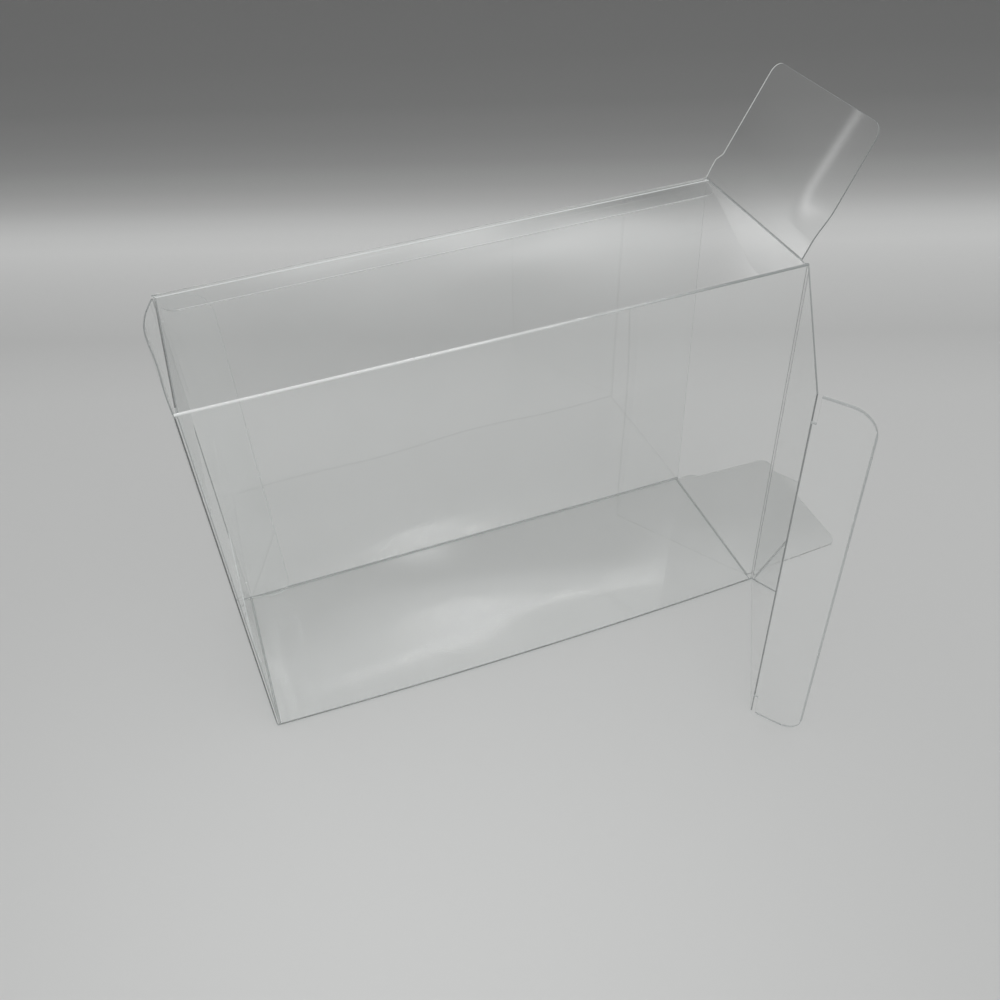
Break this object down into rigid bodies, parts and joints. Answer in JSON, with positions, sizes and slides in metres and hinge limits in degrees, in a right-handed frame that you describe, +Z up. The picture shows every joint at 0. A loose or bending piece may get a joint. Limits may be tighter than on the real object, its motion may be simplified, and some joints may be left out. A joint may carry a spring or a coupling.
{
  "type": "console box protector",
  "caption": "Clear folded film carton with tuck-in ends, sized to slip over a handheld console's retail box and guard it on a shelf.",
  "frame": {"origin": "centre of the bottom panel's outer face", "axes": "+X along the carton towards its open end, -Y towards the front panel, +Z up"},
  "size_m": [0.2385, 0.1363, 0.1796],
  "materials": {
    "clear_film": "clear glossy PET sheet"
  },
  "bodies": {
    "sleeve": {"sleeve": "clear_film"},
    "right_closure_flap": {"right_closure_flap": "clear_film"},
    "right_tuck_tongue": {"right_tuck_tongue": "clear_film"},
    "right_top_dust_flap": {"right_top_dust_flap": "clear_film"},
    "right_bottom_dust_flap": {"right_bottom_dust_flap": "clear_film"},
    "left_closure_flap": {"left_closure_flap": "clear_film"},
    "left_tuck_tongue": {"left_tuck_tongue": "clear_film"}
  },
  "joints": [
    {"name": "right_closure_swing", "type": "hinge", "parent": "sleeve", "child": "right_closure_flap", "pos_m": [0.096, -0.0328, 0.071], "axis": [0, 0, 1], "range_deg": [-10, 210]},
    {"name": "right_tongue_fold", "type": "hinge", "parent": "right_closure_flap", "child": "right_tuck_tongue", "pos_m": [0.06355, -0.08901, 0.071], "axis": [0, 0, 1], "range_deg": [-1.8, 36]},
    {"name": "right_top_dust_swing", "type": "hinge", "parent": "sleeve", "child": "right_top_dust_flap", "pos_m": [0.0953, 0, 0.1418], "axis": [0, -1, 0], "range_deg": [-151.4, 28.6]},
    {"name": "right_bottom_dust_swing", "type": "hinge", "parent": "sleeve", "child": "right_bottom_dust_flap", "pos_m": [0.0953, 0, 0.0002], "axis": [0, -1, 0], "range_deg": [0, 90]},
    {"name": "left_closure_swing", "type": "hinge", "parent": "sleeve", "child": "left_closure_flap", "pos_m": [-0.096, -0.0328, 0.071], "axis": [0, 0, 1], "range_deg": [0, 205]},
    {"name": "left_tongue_fold", "type": "hinge", "parent": "left_closure_flap", "child": "left_tuck_tongue", "pos_m": [-0.096, 0.0321, 0.071], "axis": [0, 0, 1], "range_deg": [0, 35.2]}
  ],
  "couplings": [
    {"joint": "right_tongue_fold", "follows": "right_closure_swing", "ratio": 0.1714},
    {"joint": "left_tongue_fold", "follows": "left_closure_swing", "ratio": 0.1714}
  ]
}
